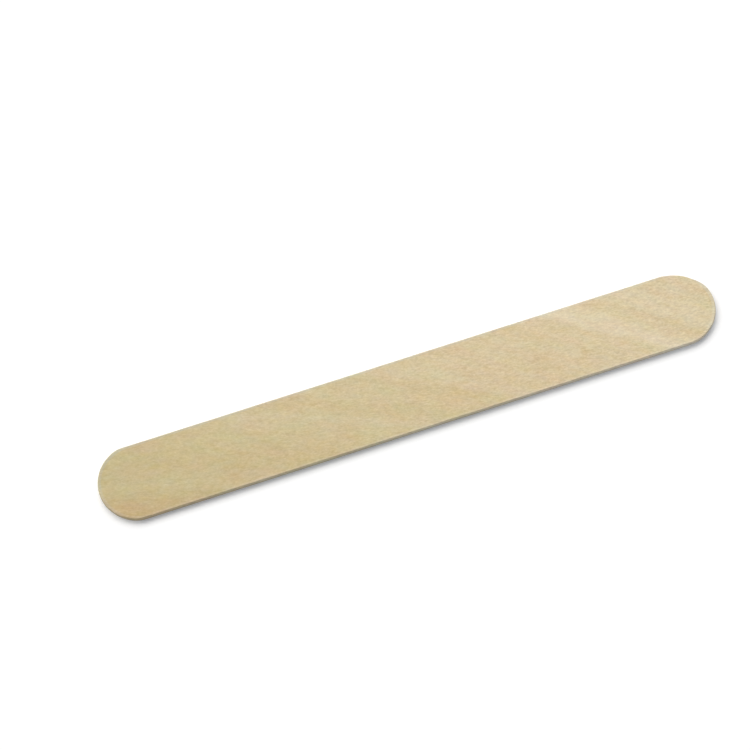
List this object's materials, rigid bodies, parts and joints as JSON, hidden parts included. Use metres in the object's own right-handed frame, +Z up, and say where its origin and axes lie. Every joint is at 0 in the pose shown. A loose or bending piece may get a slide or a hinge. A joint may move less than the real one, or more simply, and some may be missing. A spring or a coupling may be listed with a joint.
{
  "type": "tongue depressor",
  "caption": "Flat wooden tongue depressor: a thin straight blade cut along the grain, with rounded ends, eased shoulders and smooth tumbled edges.",
  "frame": {"origin": "centre of the lower face, on the surface that the blade lies on", "axes": "+X along the blade and its grain, +Y across its width, +Z up through its thickness"},
  "size_m": [0.15, 0.018, 0.0016],
  "materials": {
    "birch_veneer": "plain unvarnished pale birch, tumbled smooth, matt"
  },
  "bodies": {
    "root": {"blade": "birch_veneer"}
  },
  "joints": []
}
